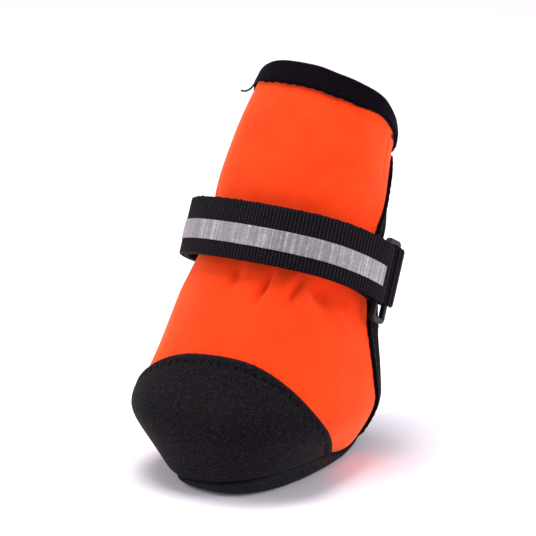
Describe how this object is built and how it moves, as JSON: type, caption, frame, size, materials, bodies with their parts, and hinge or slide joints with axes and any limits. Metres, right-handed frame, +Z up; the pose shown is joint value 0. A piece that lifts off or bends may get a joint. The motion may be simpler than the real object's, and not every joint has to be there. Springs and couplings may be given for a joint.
{
  "type": "dog boot",
  "caption": "Soft dog boot: wrapped hollow upper on a padded sole, with toe cap, heel panel, bound collar and a webbing strap folded through a ring, for a dog's paw.",
  "frame": {"origin": "on the floor, at the middle of the sole's flat tread", "axes": "+Z up, toe towards -Y, the boot's own left side towards +X"},
  "size_m": [0.0782, 0.11, 0.1325],
  "materials": {
    "grip_cloth": "black grip-coated cloth with a fine pebble grain and small glints",
    "lining": "black brushed lining",
    "orange_shell": "matt bright orange stretch soft-shell",
    "neoprene": "matt black neoprene with a fine knit face",
    "binding": "matt black stretch binding",
    "webbing": "black ribbed polyester webbing",
    "reflective_tape": "silver-grey reflective tape",
    "ring_plastic": "black moulded plastic"
  },
  "bodies": {
    "root": {"sole": "grip_cloth", "insole": "lining", "upper": "orange_shell", "toe_cap": "neoprene", "heel_panel": "neoprene", "collar_binding": "binding", "flap_binding": "binding", "strap": "webbing", "reflective_stripe": "reflective_tape", "strap_ring": "ring_plastic", "ring_tab": "webbing"}
  },
  "joints": []
}
